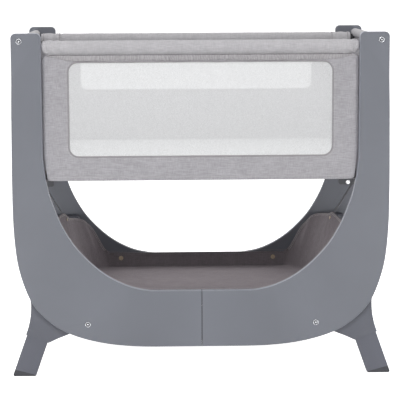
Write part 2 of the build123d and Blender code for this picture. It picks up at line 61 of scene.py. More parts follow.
# ---------------------------------------------------------------- materials
class Mat:
    """A small builder for procedural node materials."""

    def __init__(self, name, color, rough, metal=0.0, spec=0.5):
        self.m = bpy.data.materials.new(name)
        self.m.use_nodes = True
        self.nt = self.m.node_tree
        self.b = self.nt.nodes["Principled BSDF"]
        self.b.inputs["Base Color"].default_value = (*color, 1)
        self.b.inputs["Roughness"].default_value = rough
        self.b.inputs["Metallic"].default_value = metal
        self.b.inputs["Specular IOR Level"].default_value = spec
        self.m.diffuse_color = (*color, 1)
        self.co = self.nt.nodes.new("ShaderNodeTexCoord").outputs["Object"]

    def link(self, a, b):
        self.nt.links.new(a, b)

    def scaled(self, sx, sy, sz, rot=(0, 0, 0)):
        n = self.nt.nodes.new("ShaderNodeMapping")
        n.inputs["Scale"].default_value = (sx, sy, sz)
        n.inputs["Rotation"].default_value = rot
        self.link(self.co, n.inputs["Vector"])
        return n.outputs["Vector"]

    def noise(self, vec, scale=1.0, detail=3.0, rough=0.55):
        n = self.nt.nodes.new("ShaderNodeTexNoise")
        n.inputs["Scale"].default_value = scale
        n.inputs["Detail"].default_value = detail
        n.inputs["Roughness"].default_value = rough
        self.link(vec, n.inputs["Vector"])
        return n.outputs["Fac"]

    def wave(self, vec, scale, axis="X", distort=0.0):
        n = self.nt.nodes.new("ShaderNodeTexWave")
        n.wave_type = "BANDS"
        n.bands_direction = axis
        n.inputs["Scale"].default_value = scale
        n.inputs["Distortion"].default_value = distort
        n.inputs["Detail"].default_value = 1.0
        self.link(vec, n.inputs["Vector"])
        return n.outputs["Fac"]

    def voronoi(self, vec, scale, feature="F1"):
        n = self.nt.nodes.new("ShaderNodeTexVoronoi")
        n.feature = feature
        n.inputs["Scale"].default_value = scale
        self.link(vec, n.inputs["Vector"])
        return n.outputs["Distance"]

    def math(self, op, a, b=None):
        n = self.nt.nodes.new("ShaderNodeMath")
        n.operation = op
        for k, v in enumerate((a, b)):
            if v is None:
                continue
            if isinstance(v, (int, float)):
                n.inputs[k].default_value = v
            else:
                self.link(v, n.inputs[k])
        return n.outputs[0]

    def ramp(self, fac, stops):
        n = self.nt.nodes.new("ShaderNodeValToRGB")
        el = n.color_ramp.elements
        while len(el) < len(stops):
            el.new(0.5)
        for e, (p, col) in zip(el, stops):
            e.position = p
            e.color = (*col, 1) if len(col) == 3 else col
        self.link(fac, n.inputs["Fac"])
        return n.outputs["Color"]

    def mix(self, fac, a, b):
        n = self.nt.nodes.new("ShaderNodeMix")
        n.data_type = "RGBA"
        if isinstance(fac, (int, float)):
            n.inputs["Factor"].default_value = fac
        else:
            self.link(fac, n.inputs["Factor"])
        for key, v in (("A", a), ("B", b)):
            sock = [i for i in n.inputs if i.name == key and i.type == "RGBA"][0]
            if isinstance(v, tuple):
                sock.default_value = (*v, 1)
            else:
                self.link(v, sock)
        return [o for o in n.outputs if o.type == "RGBA"][0]

    def range(self, v, lo, hi, a=0.0, b=1.0):
        n = self.nt.nodes.new("ShaderNodeMapRange")
        n.inputs["From Min"].default_value = a
        n.inputs["From Max"].default_value = b
        n.inputs["To Min"].default_value = lo
        n.inputs["To Max"].default_value = hi
        self.link(v, n.inputs["Value"])
        return n.outputs["Result"]

    def color(self, out):
        self.link(out, self.b.inputs["Base Color"])

    def rough(self, out):
        self.link(out, self.b.inputs["Roughness"])

    def bump(self, height, strength, dist=0.001):
        n = self.nt.nodes.new("ShaderNodeBump")
        n.inputs["Strength"].default_value = strength
        n.inputs["Distance"].default_value = dist
        self.link(height, n.inputs["Height"])
        self.link(n.outputs["Normal"], self.b.inputs["Normal"])

    def pointiness(self):
        return self.nt.nodes.new("ShaderNodeNewGeometry").outputs["Pointiness"]


def shade(col, k):
    return tuple(min(1.0, v * k) for v in col)


def paint(name, col, rough=0.42, rim=1.0, seam=False):
    """Satin paint over board: faint mottling, roller texture, rubbed edges.
    rim paints a highlight on the cut edges, in place of the grazing reflection they catch; seam draws the dark joint in
    the middle."""
    m = Mat(name, col, rough, spec=0.42)
    big = m.noise(m.scaled(1, 1, 1), 7.0, 3)
    fine = m.noise(m.scaled(1, 1, 1), 420.0, 2)
    base = m.ramp(big, [(0.3, shade(col, 0.97)), (0.7, shade(col, 1.03))])
    edge = m.range(m.pointiness(), 0.0, 0.55, 0.52, 0.62)
    tint = m.mix(edge, base, shade(col, 1.22))
    # painted highlight: faces whose normal is not along Y, the cut edges, are lightened by the factor rim, standing in
    # for a grazing reflection of the bright surroundings
    if rim != 1.0:
        geo = m.nt.nodes.new("ShaderNodeNewGeometry")
        sn = m.nt.nodes.new("ShaderNodeSeparateXYZ")
        m.link(geo.outputs["Normal"], sn.inputs[0])
        cut = m.range(m.math("ABSOLUTE", sn.outputs["Y"]), 1.0, 0.0, 0.55, 0.93)
        tint = m.mix(cut, tint, shade(col, rim))
    if seam:
        sc = m.nt.nodes.new("ShaderNodeSeparateXYZ")
        m.link(m.co, sc.inputs[0])
        gap = m.range(m.math("ABSOLUTE", sc.outputs["X"]), 1.0, 0.0, 0.0009, 0.0013)
        tint = m.mix(gap, tint, (0.035, 0.036, 0.042))
    m.color(tint)
    m.rough(m.range(fine, rough - 0.05, rough + 0.07))
    m.bump(fine, 0.10, 0.0004)
    return m.m


def moulded(name, col, rough=0.5):
    """Moulded plastic with a fine spark-eroded grain."""
    m = Mat(name, col, rough, spec=0.45)
    grain = m.voronoi(m.scaled(1, 1, 1), 900.0)
    big = m.noise(m.scaled(1, 1, 1), 14.0, 2)
    base = m.ramp(big, [(0.3, shade(col, 0.94)), (0.7, shade(col, 1.06))])
    edge = m.range(m.pointiness(), 0.0, 0.5, 0.52, 0.62)
    m.color(m.mix(edge, base, shade(col, 1.35)))
    m.rough(m.range(grain, rough - 0.06, rough + 0.08))
    m.bump(grain, 0.22, 0.0004)
    return m.m


def metal(name, col, rough=0.3, axis=(900, 900, 40)):
    """Plated or bright metal with drawn micro scratches and dull patches."""
    m = Mat(name, col, rough, metal=1.0)
    scratch = m.noise(m.scaled(*axis), 3.0, 4, 0.7)
    patch = m.noise(m.scaled(1, 1, 1), 160.0, 3)
    m.color(m.ramp(patch, [(0.3, shade(col, 0.8)), (0.75, shade(col, 1.1))]))
    m.rough(m.range(scratch, rough - 0.08, rough + 0.16))
    m.bump(scratch, 0.12, 0.0002)
    return m.m


def cloth(name, dark, light, long_axis="X", pitch=0.0011, streak=1.0,
          bump=0.5, sheen=0.25, rough=0.9, face=None, gather=0.0):
    """Woven marl cloth: slubby yarn streaks along both threads over a plain
    weave. long_axis is the direction of the more visible yarn."""
    mid = tuple((a + b) / 2 for a, b in zip(dark, light))
    m = Mat(name, mid, rough, spec=0.2)
    m.b.inputs["Sheen Weight"].default_value = sheen
    m.b.inputs["Sheen Roughness"].default_value = 0.5
    m.b.inputs["Sheen Tint"].default_value = (*light, 1)
    lo, hi = 55.0, 620.0
    sc = {"X": (lo, hi, hi), "Y": (hi, lo, hi), "Z": (hi, hi, lo)}[long_axis]
    a = m.noise(m.scaled(*sc), 1.0, 3, 0.6)
    sc2 = {"X": (hi * 0.9, 90, 60), "Y": (90, hi * 0.9, 60), "Z": (60, hi * 0.9, 90)}[long_axis]
    b = m.noise(m.scaled(*sc2), 1.0, 2, 0.5)
    big = m.noise(m.scaled(1, 1, 1), 22.0, 3)
    s1 = m.range(a, -streak, streak, 0.3, 0.7)
    s2 = m.range(b, -0.6 * streak, 0.6 * streak, 0.3, 0.7)
    s3 = m.range(big, -0.25, 0.25, 0.3, 0.7)
    tot = m.math("ADD", m.math("ADD", s1, s2), s3)
    fac = m.range(tot, 0.0, 1.0, -1.6, 1.6)
    tint = m.mix(fac, dark, light)
    # painted shade: where gather is set, the valleys of the gathers are drawn darker by that factor
    if gather:
        g = m.wave(m.scaled(1, 0.4, 0.8), 46.0, "X", 11.0)
        g2 = m.noise(m.scaled(260, 60, 420), 1.0, 2, 0.5)
        painted_gather_shade = m.range(m.math("ADD", g, g2), 0.0, 1.0, 0.45, 1.15)
        tint = m.mix(painted_gather_shade, m.mix(fac, shade(dark, gather), shade(light, gather)), tint)
    # painted shade: the walls, whose normals lie away from Z, are drawn darker, and faces turned to the front or back,
    # such as the basket's flaps, darker still by the factor face
    if face:
        geo = m.nt.nodes.new("ShaderNodeNewGeometry")
        sn = m.nt.nodes.new("ShaderNodeSeparateXYZ")
        m.link(geo.outputs["Normal"], sn.inputs[0])
        wall = m.range(m.math("ABSOLUTE", sn.outputs["Z"]), 1.0, 0.0, 0.55, 0.92)
        tint = m.mix(wall, tint, m.mix(fac, shade(dark, 0.78), shade(light, 0.78)))
        up = m.range(m.math("ABSOLUTE", sn.outputs["Y"]), 0.0, 1.0, 0.75, 0.97)
        tint = m.mix(up, tint, m.mix(fac, shade(dark, face), shade(light, face)))
    m.color(tint)
    k = 2 * math.pi / pitch / (2 * math.pi) * 0.5
    w1 = m.wave(m.scaled(1, 1, 1), k / 10 * 3.18, "X", 0.6)
    w2 = m.wave(m.scaled(1, 1, 1), k / 10 * 3.18, "Z", 0.6)
    w3 = m.wave(m.scaled(1, 1, 1), k / 10 * 3.18, "Y", 0.6)
    weave = m.math("ADD", m.math("MULTIPLY", w1, w2), m.math("MULTIPLY", w2, w3))
    h = m.math("ADD", m.math("MULTIPLY", weave, 0.35), a)
    m.bump(h, bump, 0.0006)
    return m.m


PANEL = (0.155, 0.163, 0.188)
mat_panel = paint("panel_paint", PANEL, seam=True)
# the front panels get a painted highlight on their cut edges
mat_panel_front = paint("panel_paint_front_edge_highlight", PANEL, rim=2.2, seam=True)
mat_leg = paint("leg_paint", (0.104, 0.108, 0.132), 0.5)
mat_beam = paint("beam_paint", (0.12, 0.123, 0.138), 0.55)
mat_bracket = moulded("bracket_plastic", (0.094, 0.098, 0.118))
mat_button = moulded("button_plastic", (0.115, 0.118, 0.132), 0.55)
mat_rubber = moulded("foot_rubber", (0.055, 0.056, 0.064), 0.75)
mat_black = moulded("black_plastic", (0.03, 0.03, 0.032), 0.6)
mat_zinc = metal("zinc_steel", (0.66, 0.66, 0.67), 0.28)
mat_spring = metal("spring_steel", (0.55, 0.55, 0.57), 0.25)
mat_brass = metal("press_stud_brass", (0.66, 0.56, 0.40), 0.38)
mat_slider = metal("zip_metal", (0.16, 0.16, 0.17), 0.4)
mat_tube = paint("tube_powder_coat", (0.085, 0.086, 0.095), 0.5)
mat_body = cloth("body_fabric", (0.290, 0.281, 0.299), (0.490, 0.479, 0.506), "X")
mat_body_side = cloth("body_fabric_side", (0.290, 0.281, 0.299), (0.490, 0.479, 0.506), "Y")
mat_rail = cloth("rail_fabric", (0.362, 0.352, 0.369), (0.568, 0.557, 0.576), "X", streak=0.8)
mat_rail_side = cloth("rail_fabric_side", (0.335, 0.327, 0.340), (0.525, 0.517, 0.532), "Y", streak=0.8)
mat_bind = cloth("binding_fabric", (0.26, 0.248, 0.26), (0.39, 0.378, 0.39), "X", pitch=0.0008, streak=0.6)
# face=0.62 paints shade on the basket's walls and flaps
mat_basket = cloth("basket_canvas", (0.250, 0.221, 0.236), (0.452, 0.408, 0.431), "X", pitch=0.0014, streak=0.7, bump=0.6, sheen=0.12, face=0.62)
mat_basket_hem = cloth("basket_hem", (0.235, 0.208, 0.221), (0.40, 0.36, 0.38), "X", pitch=0.0012, streak=0.5, sheen=0.12, face=0.62)
mat_mattress = cloth("mattress_cover", (0.84, 0.86, 0.86), (0.90, 0.91, 0.91), "X", pitch=0.0016, streak=0.3, bump=0.35)
mat_web = cloth("webbing", (0.17, 0.172, 0.185), (0.29, 0.294, 0.315), "Z", pitch=0.0018, streak=0.6, bump=0.9, sheen=0.1)
mat_zip = cloth("zip_nylon", (0.10, 0.098, 0.105), (0.19, 0.186, 0.195), "Z", pitch=0.0009, streak=0.5)
# gather=0.84 paints shade into the valleys of the gathers
mat_flap = cloth("flap_fabric", (0.320, 0.307, 0.320), (0.500, 0.483, 0.500), "X", streak=0.7, gather=0.84)
# a dark tape colour used for the painted shadow line under the front roll
mat_shadow = cloth("roll_shadow_tape", (0.16, 0.152, 0.16), (0.25, 0.24, 0.25), "X", pitch=0.0008, streak=0.4)
mat_thread = cloth("stitch_thread", (0.48, 0.47, 0.47), (0.62, 0.61, 0.61), "X", pitch=0.0005, streak=0.4)
mat_thread_light = cloth("hem_thread", (0.62, 0.60, 0.60), (0.78, 0.76, 0.76), "X", pitch=0.0005, streak=0.4)


def board_material():
    col = (0.40, 0.30, 0.19)
    m = Mat("board_wood", col, 0.6)
    grain = m.noise(m.scaled(6, 90, 90), 1.0, 5, 0.65)
    m.color(m.ramp(grain, [(0.3, shade(col, 0.72)), (0.7, shade(col, 1.15))]))
    m.bump(grain, 0.2, 0.0005)
    return m.m


mat_board = board_material()


def window_material():
    """Open white netting: small round holes in rows, cut out by alpha."""
    m = Mat("window_mesh", (0.77, 0.776, 0.784), 0.85, spec=0.15)
    m.b.inputs["Sheen Weight"].default_value = 0.15
    m.b.inputs["Transmission Weight"].default_value = 0.0
    m.b.inputs["Subsurface Weight"].default_value = 0.0
    cell = m.scaled(1, 0, 1)
    v = m.voronoi(cell, 1000.0)
    hole = m.range(v, 0.52, 0.80, 0.10, 0.62)
    m.link(hole, m.b.inputs["Alpha"])
    tone = m.noise(m.scaled(1, 1, 1), 30.0, 2)
    m.color(m.ramp(tone, [(0.3, (0.763, 0.769, 0.777)), (0.7, (0.777, 0.783, 0.791))]))
    m.bump(v, 0.12, 0.0003)
    return m.m


mat_mesh = window_material()

# CAD nodes that stay as they are and only get a finish
FINISH = {
    mat_panel: ["rear_panel_left", "rear_panel_right"],
    mat_panel_front: ["front_panel_left", "front_panel_right"],
    mat_beam: ["lower_cross_beam_left", "lower_cross_beam_right", "panel_joint_plates"],
    mat_leg: ["leg_" + k for k in SIDES],
    mat_rubber: ["foot_pad_" + k for k in SIDES],
    mat_bracket: ["leg_bracket_" + k for k in SIDES],
    mat_button: ["leg_latch_" + k for k in SIDES],
    mat_spring: ["latch_spring_" + k for k in SIDES],
    mat_zinc: ["threaded_inserts", "base_bracket_bolts", "wood_screws", "latch_pivot_pins"],
    mat_tube: ["end_top_tube_left", "end_top_tube_right", "rear_top_tube", "front_rail_tube", "base_cross_rails", "base_long_tubes", "base_rail_brackets"],
    mat_black: ["tube_end_plugs", "rail_corner_connectors"],
    mat_brass: ["basket_press_studs"],
    mat_slider: ["zip_slider_left", "zip_slider_right"],
    mat_board: ["base_board"],
}
for mat, names in FINISH.items():
    for n in names:
        me = NODES[n].data
        me.materials.clear()
        me.materials.append(mat)


# --------------------------------------------------------------- mesh helpers
def make(name, verts, faces, mat, body, smooth=True, thick=0.0, offset=0.0,
         subdiv=0, slot=None, replaces=()):
    """Piece from points in millimetres."""
    me = bpy.data.meshes.new(name)
    me.from_pydata([(x * 0.001, y * 0.001, z * 0.001) for x, y, z in verts], [], faces)
    me.validate()
    me.materials.append(mat)
    for p in me.polygons:
        p.use_smooth = smooth
    ob = bpy.data.objects.new(name, me)
    bpy.context.scene.collection.objects.link(ob)
    if thick:
        mod = ob.modifiers.new("thickness", "SOLIDIFY")
        mod.thickness = thick * 0.001
        mod.offset = offset
        mod.use_even_offset = False
    if subdiv:
        mod = ob.modifiers.new("smooth", "SUBSURF")
        mod.levels = subdiv
        mod.render_levels = subdiv
    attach(ob, body)
    if replaces:
        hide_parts(*replaces)
    return ob


def grid_faces(nu, nv, close_u=False, close_v=False):
    out = []
    for i in range(nu if close_u else nu - 1):
        for j in range(nv if close_v else nv - 1):
            a = i * nv + j
            b = ((i + 1) % nu) * nv + j
            c2 = ((i + 1) % nu) * nv + (j + 1) % nv
            d = i * nv + (j + 1) % nv
            out.append((a, b, c2, d))
    return out


def sheet_mesh(name, nu, nv, f, mat, body, **kw):
    verts = [f(i / (nu - 1), j / (nv - 1)) for i in range(nu) for j in range(nv)]
    return make(name, verts, grid_faces(nu, nv), mat, body, **kw)


def nz(x, y, z, scale, seed=0.0):
    """Smooth noise, about -1 to 1, for points in millimetres."""
    return noise.noise(Vector((x / scale + seed, y / scale + seed * 1.7, z / scale - seed)))


def smoothstep(a, b, x):
    t = min(1.0, max(0.0, (x - a) / (b - a)))
    return t * t * (3 - 2 * t)


def rounded_rect(x0, x1, z0, z1, r, nx, nz_, na):
    """Points round a rectangle with rounded corners, the same count for any size; r is one radius or four, from the lower right corner on."""
    rs = r if isinstance(r, (list, tuple)) else [r] * 4
    pts = []
    corners = [((x1 - rs[0], z0 + rs[0]), -90, rs[0]), ((x1 - rs[1], z1 - rs[1]), 0, rs[1]),
               ((x0 + rs[2], z1 - rs[2]), 90, rs[2]), ((x0 + rs[3], z0 + rs[3]), 180, rs[3])]
    starts = []
    for (cx, cz), a0, rr in corners:
        arc = [(cx + rr * math.cos(math.radians(a0 + 90 * k / na)),
                cz + rr * math.sin(math.radians(a0 + 90 * k / na))) for k in range(na + 1)]
        starts.append(arc)
    counts = [nz_, nx, nz_, nx]
    for i, arc in enumerate(starts):
        pts += arc
        q = starts[(i + 1) % 4][0]
        p = arc[-1]
        n = counts[i]
        pts += [(p[0] + (q[0] - p[0]) * k / n, p[1] + (q[1] - p[1]) * k / n) for k in range(1, n)]
    return pts


def ring_wall(name, inner, outer, rings, place, mat, body, **kw):
    """Wall between two matched outlines; place maps x, z, t to a point."""
    n = len(inner)
    verts = []
    for k in range(rings + 1):
        t = k / rings
        for (xi, zi), (xo, zo) in zip(inner, outer):
            verts.append(place(xi + (xo - xi) * t, zi + (zo - zi) * t, t))
    return make(name, verts, grid_faces(rings + 1, n, close_v=True), mat, body, **kw)


def tube_along(name, pts, r, mat, body, n=10, close=False, **kw):
    """Round tube through points in millimetres, of radius r or a list."""
    verts, m = [], len(pts)
    P = [Vector(p) for p in pts]
    ref = None
    for i, p in enumerate(P):
        if close:
            d = P[(i + 1) % m] - P[i - 1]
        else:
            d = P[min(i + 1, m - 1)] - P[max(i - 1, 0)]
        d.normalize()
        if ref is None:
            ref = d.cross(Vector((0, 0, 1)))
            if ref.length < 0.3:
                ref = d.cross(Vector((0, 1, 0)))
        ref = (ref - d * ref.dot(d)).normalized()
        b = d.cross(ref)
        rr = r[i] if isinstance(r, (list, tuple)) else r
        for k in range(n):
            a = 2 * math.pi * k / n
            verts.append(tuple(p + (ref * math.cos(a) + b * math.sin(a)) * rr))
    faces = grid_faces(m, n, close_u=close, close_v=True)
    if not close:
        faces.append(tuple(range(n))[::-1])
        faces.append(tuple(range((m - 1) * n, m * n)))
    return make(name, verts, faces, mat, body, **kw)


def resample(pts, step, close=False):
    P = [Vector(p) for p in pts]
    if close:
        P.append(P[0])
    out, carry = [P[0]], 0.0
    for a, b in zip(P, P[1:]):
        L = (b - a).length
        if L < 1e-9:
            continue
        t = step - carry
        while t <= L:
            out.append(a + (b - a) * (t / L))
            t += step
        carry = L - (t - step)
    return out


def stitches(name, pts, mat, body, pitch=3.4, length=2.3, r=0.38, close=False):
    """A row of short raised stitches along a path."""
    P = resample(pts, pitch / 4, close)
    verts, faces = [], []
    n = 6
    k = 0
    while k + 3 < len(P):
        a, b = P[k], P[min(k + 3, len(P) - 1)]
        d = (b - a)
        if d.length < 0.3:
            k += 4
            continue
        d.normalize()
        mid = (a + b) / 2
        a, b = mid - d * length / 2, mid + d * length / 2
        ref = d.cross(Vector((0, 0, 1)))
        if ref.length < 0.3:
            ref = d.cross(Vector((0, 1, 0)))
        ref.normalize()
        bb = d.cross(ref)
        base = len(verts)
        for q, rr in ((a, r * 0.4), (a + d * 0.3, r), (b - d * 0.3, r), (b, r * 0.4)):
            for i in range(n):
                ang = 2 * math.pi * i / n
                verts.append(tuple(q + (ref * math.cos(ang) + bb * math.sin(ang)) * rr))
        for ring in range(3):
            for i in range(n):
                faces.append((base + ring * n + i, base + ring * n + (i + 1) % n,
                              base + (ring + 1) * n + (i + 1) % n, base + (ring + 1) * n + i))
        faces.append(tuple(base + i for i in range(n))[::-1])
        faces.append(tuple(base + 3 * n + i for i in range(n)))
        k += 4
    return make(name, verts, faces, mat, body)


# ------------------------------------------------- front wall, on the drop side
FLAP_X = [(505, 385.2), (515, 386.6), (527, 388.6), (540, 391.2), (560, 393.6), (580, 394.9), (812, 394.9), (820, 391)]


def table(tab, v):
    if v <= tab[0][0]:
        return tab[0][1]
    for (a1, b1), (a2, b2) in zip(tab, tab[1:]):
        if v <= a2:
            return b1 + (b2 - b1) * (v - a1) / (a2 - a1)
    return tab[-1][1]


def front_depth(x, z):
    """How far in front the outer face of the front wall lies."""
    y = -266.4
    ax = abs(x)
    if ax > 352:
        y += 1.0 * ((ax - 352) / 35.0) ** 2
    y += 3.0 * smoothstep(387.2, 395.0, ax)
    y += 0.5 * nz(x, 0, z, 46, 3.1) + 0.22 * nz(x, 0, z, 17, 7.7)
    # slack folds running in from the upper corners
    for sx in (-1, 1):
        u = (sx * x - 352) * 0.8 + (z - 792) * 0.35
        w = math.exp(-((sx * x - 358) / 20) ** 2) * math.exp(-((z - 775) / 50) ** 2)
        y += 0.7 * w * math.sin(u / 4.5)
    # slight puff between the hem and the window
    y -= 0.8 * math.exp(-((z - 535) / 18) ** 2) * smoothstep(386, 350, ax)
    return y


def place_front(x, z, t):
    k = table(FLAP_X, z) / 383.0
    x2 = x * (1 + (k - 1) * smoothstep(336, 383, abs(x)))
    return (x2, front_depth(x2, z), z)


win_front = rounded_rect(-330.5, 330.5, 565, 802, 25, 120, 44, 12)
out_front = rounded_rect(-383, 383, 505.2, 819.5, [5, 13, 13, 5], 120, 44, 12)
front = ring_wall("front_wall_cloth", win_front, out_front, 30, place_front, mat_body,
                  "drop_side", thick=2.6, offset=-1.0, slot="body_fabric", replaces=("front_wall",))


def binding(name, half, z0, z1, r, depth, mat, body, nz_, na, flip=1, slot=None, grow=1.0):
    """Turned-in edge round a window: a narrow rolled tape."""
    n = len(rounded_rect(-half, half, z0, z1, r, 120, nz_, na))
    prof = [(-1.6, 0.9), (-1.9, 0.2), (-1.7, -0.6), (-1.0, -1.0), (0.1, -1.05),
            (1.2, -0.9), (1.9, -0.35), (2.1, 0.5)]
    verts = []
    for off, dy in prof:
        off *= grow
        b = rounded_rect(-half - off, half + off, z0 - off, z1 + off, r + off, 120, nz_, na)
        for (x, z) in b:
            verts.append((x, depth(x, z) + flip * (dy + 0.1 * nz(x, 0, z, 9, off)), z))
    return make(name, verts, grid_faces(len(prof), n, close_v=True), mat, body, slot=slot)


binding("front_window_binding", 330.5, 565, 802, 25, front_depth, mat_bind, "drop_side", 44, 12,
        slot="body_fabric")
a = rounded_rect(-335.5, 335.5, 560, 807, 30, 120, 44, 12)
stitches("front_window_stitching", [(x, front_depth(x, z) - 0.12, z) for x, z in a if z < 800],
         mat_thread, "drop_side", r=0.3)


def net(name, half, z0, z1, y, mat, body, nu, nv, seed, replaces):
    def f(u, v):
        x = -half + 2 * half * u
        z = z0 + (z1 - z0) * v
        e = min(1.0, min(half - abs(x), z - z0, z1 - z) / 30.0)
        d = 1.1 * nz(x, 0, z, 90, seed) + 0.3 * nz(x, 0, z, 30, seed + 2)
        d += 0.35 * math.sin((x * 0.7 + z) / 17.0 + seed) * smoothstep(half * 0.55, half, abs(x))
        return (x, y + e * d, z)
    ob = sheet_mesh(name, nu, nv, f, mat, body, slot="window_mesh", replaces=replaces)
    return ob


net("front_window_net", 332, 563.5, 803.5, -265.4, mat_mesh, "drop_side", 140, 52, 1.0,
    ("front_window_mesh",))

# bottom hem of the front wall with its stitch line
hem = [(x, front_depth(x, 507) - 0.1, 506.2) for x in range(-378, 379, 6)]
tube_along("front_wall_hem", hem, 1.7, mat_body, "drop_side", n=10, slot="body_fabric")
stitches("front_hem_stitching", [(x, front_depth(x, 513) - 0.1, 513) for x in range(-374, 375, 4)],
         mat_thread, "drop_side", r=0.3)


# gathered flap that hangs from the underside of the roll over the wall's top
def roll_flap(u, v):
    x = -381.5 + 763 * u
    e = smoothstep(384, 322, abs(x))
    low = 806.4 + 0.9 * math.sin(x / 37.0) + 0.9 * nz(x, 0, 0, 26, 8) + 9.5 * (1 - e)
    z = 820.5 + (low - 820.5) * v
    ruche = smoothstep(330, 150, abs(x)) * 0.65 + 0.35
    y = -268.0 - 0.9 * math.sin(math.pi * min(1.0, v * 1.15)) + 1.1 * (1 - e)
    y += ruche * v * 1.2 * math.sin(x / 2.4 + 4.0 * nz(x, 0, 0, 38, 1.3) + 1.2 * v)
    y += ruche * v * 0.6 * math.sin(x / 1.15 + 6.0 * nz(x, 0, 0, 21, 4.3))
    y += 0.4 * nz(x, 0, z, 12, 4.0)
    return (x, y, z)


flap = sheet_mesh("front_roll_flap", 560, 9, roll_flap, mat_flap, "drop_side", thick=1.3,
                  offset=0.0, slot="rail_fabric")
tube_along("front_flap_edge", [roll_flap(k / 380, 1.0) for k in range(2, 379)], 0.7, mat_flap, "drop_side",
           n=8, slot="rail_fabric")
# painted shadow: a thin dark tube along the crease under the roll draws the roll's shade line on the flap
tube_along("front_roll_shadow_line",
           [(x, -269.0 + 0.25 * nz(x, 0, 0, 40, 2), 819.4 + 0.3 * nz(x, 0, 0, 24, 5)) for x in range(-377, 378, 4)],
           1.0, mat_shadow, "drop_side", n=8, slot="rail_fabric")


# --------------------------------------------------------------- padded rails
def padded_rail(name, length, r, centre, axis, ends, seams, mat, body, slot, replaces,
                nu=300, nv=56, seed=0.0, amp=1.0, tuck=0.0):
    """Padded tube along X or Y. seams are (position, depth, width) rings;
    ends is (rounding length, end radius)."""
    half = length / 2

    def radius(u, th):
        rr = r
        d = half - abs(u)
        if d < ends[0]:
            q = 1 - d / ends[0]
            rr = ends[1] + (r - ends[1]) * math.sqrt(max(0.0, 1 - q * q))
        w = 0.55 * nz(u, 40 * math.cos(th), 40 * math.sin(th), 42, seed)
        w += 0.38 * nz(u * 1.6, 30 * math.cos(th), 30 * math.sin(th), 15, seed + 5)
        near = math.exp(-((half - abs(u)) / 55.0) ** 2)
        w += near * 1.25 * math.sin(u / 4.2 + 2.0 * math.sin(th * 2 + seed) + 3 * nz(u, th * 10, 0, 30, seed))
        rr += amp * w * min(1.0, d / 6.0)
        if tuck:
            # the end is pulled round and upwards, and its cap seam bends with it
            low = max(0.0, -math.sin(th) * 0.8 + 0.2)
            rr *= 1 - tuck * low * max(0.0, 1 - d / 21.0) ** 1.7
        for pos, depth, width in seams:
            pos2 = pos - (7.0 * (0.5 - 0.5 * math.sin(th)) if tuck else 0.0)
            rr -= depth * math.exp(-((abs(u) - pos2) / width) ** 2)
        # sewn seam along the underside
        ds = math.atan2(math.sin(th + math.pi / 2), math.cos(th + math.pi / 2))
        rr -= 0.9 * math.exp(-(ds / 0.09) ** 2)
        return rr

    verts = []
    for i in range(nu):
        # finer near the ends
        q = i / (nu - 1) * 2 - 1
        u = half * math.copysign(1 - (1 - abs(q)) ** 1.25, q)
        for j in range(nv):
            th = 2 * math.pi * j / nv
            rr = radius(u, th)
            a1, b1 = rr * math.cos(th), rr * math.sin(th)
            if axis == "X":
                verts.append((centre[0] + u, centre[1] + a1, centre[2] + b1))
            else:
                verts.append((centre[0] + a1, centre[1] + u, centre[2] + b1))
    faces = grid_faces(nu, nv, close_v=True)
    # closed ends
    for k, ring in ((0, range(nv)), (nu - 1, range((nu - 1) * nv, nu * nv))):
        cv = len(verts)
        u = -half if k == 0 else half
        verts.append((centre[0] + u, centre[1], centre[2]) if axis == "X" else
                     (centre[0], centre[1] + u, centre[2]))
        ring = list(ring)
        for j in range(nv):
            q = (ring[j], ring[(j + 1) % nv])
            faces.append((q[1], q[0], cv) if k == 0 else (q[0], q[1], cv))
    ob = make(name, verts, faces, mat, body, slot=slot, replaces=replaces)
    return ob


padded_rail("front_roll_padding", 790, 18.4, (0, -262, 836.9), "X", (9.5, 9.0),
            [(386.5, 2.2, 1.4)], mat_rail, "drop_side", "rail_fabric", ("front_roll",), seed=2.0, tuck=0.55)
padded_rail("rear_rail_padding", 868, 14.6, (0, 240, 841.6), "X", (5.0, 12.5),
            [(378, 1.0, 1.2)], mat_rail, "frame", "rail_fabric", ("rear_rail_sleeve",), seed=9.0, amp=0.8)
for sx, nm in ((1, "right"), (-1, "left")):
    padded_rail("end_rail_padding_" + nm, 518, 11.0, (sx * 449.5, 0, 854.5), "Y", (5.0, 9.0),
                [(246, 0.8, 1.4)], mat_rail_side, "frame", "rail_fabric",
                ("end_rail_sleeve_" + nm,), nu=220, seed=4.0 + sx, amp=0.35)

# stitched end tabs of the rear rail
for sx in (-1, 1):
    nm = "right" if sx > 0 else "left"
    for px, tag in ((380.5, "inner"), (428, "outer")):
        ring = [(sx * px, 240 + 15.1 * math.cos(t * math.pi / 24), 841.6 + 15.1 * math.sin(t * math.pi / 24))
                for t in range(48)]
        stitches("rear_tab_stitching_%s_%s" % (tag, nm), ring, mat_thread, "frame", pitch=3.0, close=True)
        seam_ring = [(q[0] + sx * (1.6 if tag == "inner" else -1.6), q[1], q[2]) for q in ring]
        tube_along("rear_tab_seam_%s_%s" % (tag, nm), seam_ring, 0.85, mat_bind, "frame", n=8, close=True,
                   slot="rail_fabric")

# ------------------------------------------------------------------ rear wall
def rear_depth(x, z):
    y = 250.9 + 0.8 * nz(x, 0, z, 60, 11.0) + 0.35 * nz(x, 0, z, 20, 5.0)
    y += 1.3 * math.exp(-((z - 655.5) / 2.2) ** 2)
    return y


